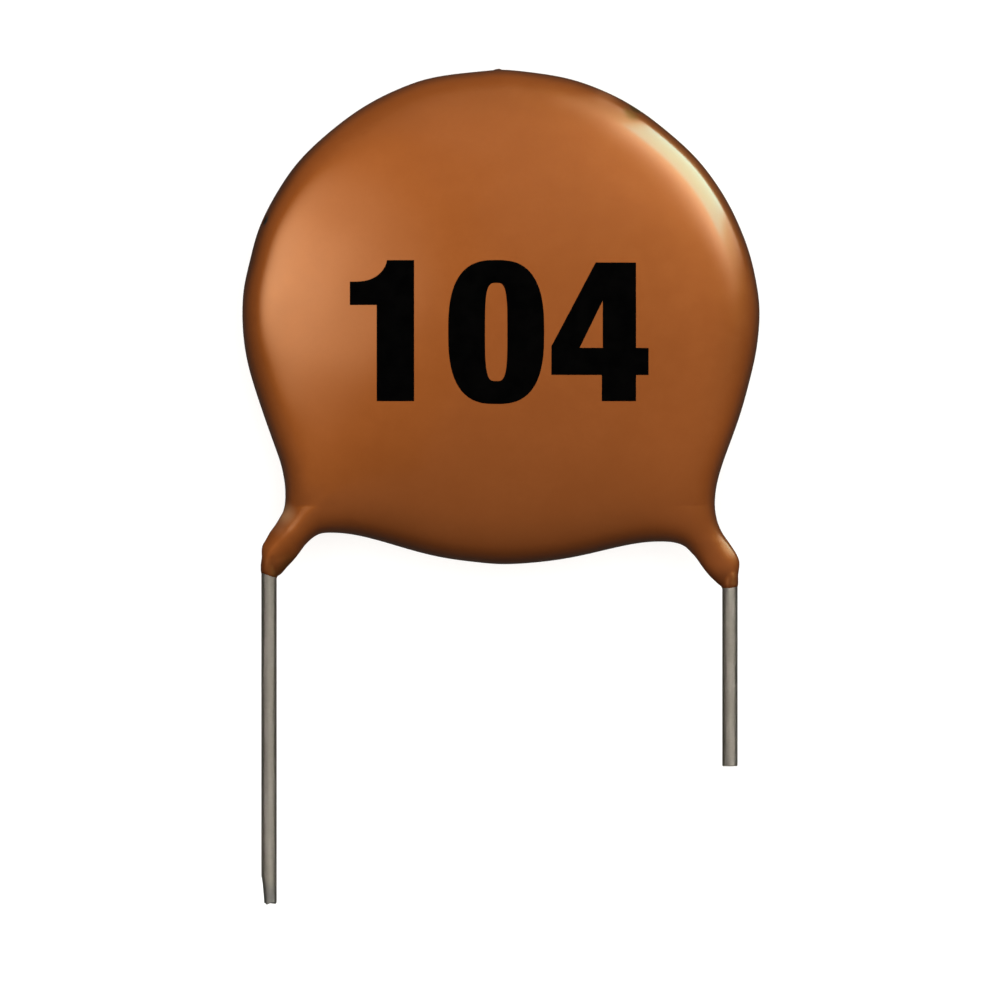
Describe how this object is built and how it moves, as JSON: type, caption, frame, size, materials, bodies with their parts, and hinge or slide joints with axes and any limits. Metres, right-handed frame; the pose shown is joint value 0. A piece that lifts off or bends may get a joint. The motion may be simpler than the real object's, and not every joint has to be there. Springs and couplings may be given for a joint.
{
  "type": "ceramic capacitor",
  "caption": "Dipped ceramic disc capacitor with a crowned brown body and straight radial wire leads of unequal length, for mounting through a board.",
  "frame": {"origin": "middle of the flat spot on the back of the disc, which the part rests on; it is straight behind the middle of the disc", "axes": "+Z out of the marked front face, +Y up the figures, away from the leads, +X to the right of the figures; the part lies on its back"},
  "size_m": [0.0168, 0.0271, 0.0039],
  "materials": {
    "coating": "satin",
    "tinned_wire": "satin",
    "ink": "matte",
    "ceramic": "matte",
    "silver": "matte",
    "solder": "gloss"
  },
  "bodies": {
    "root": {"coating": "coating", "left_lead": "tinned_wire", "right_lead": "tinned_wire", "value_mark": "ink", "ceramic_disc": "ceramic", "front_electrode": "silver", "back_electrode": "silver", "front_solder": "solder", "back_solder": "solder"}
  },
  "joints": []
}
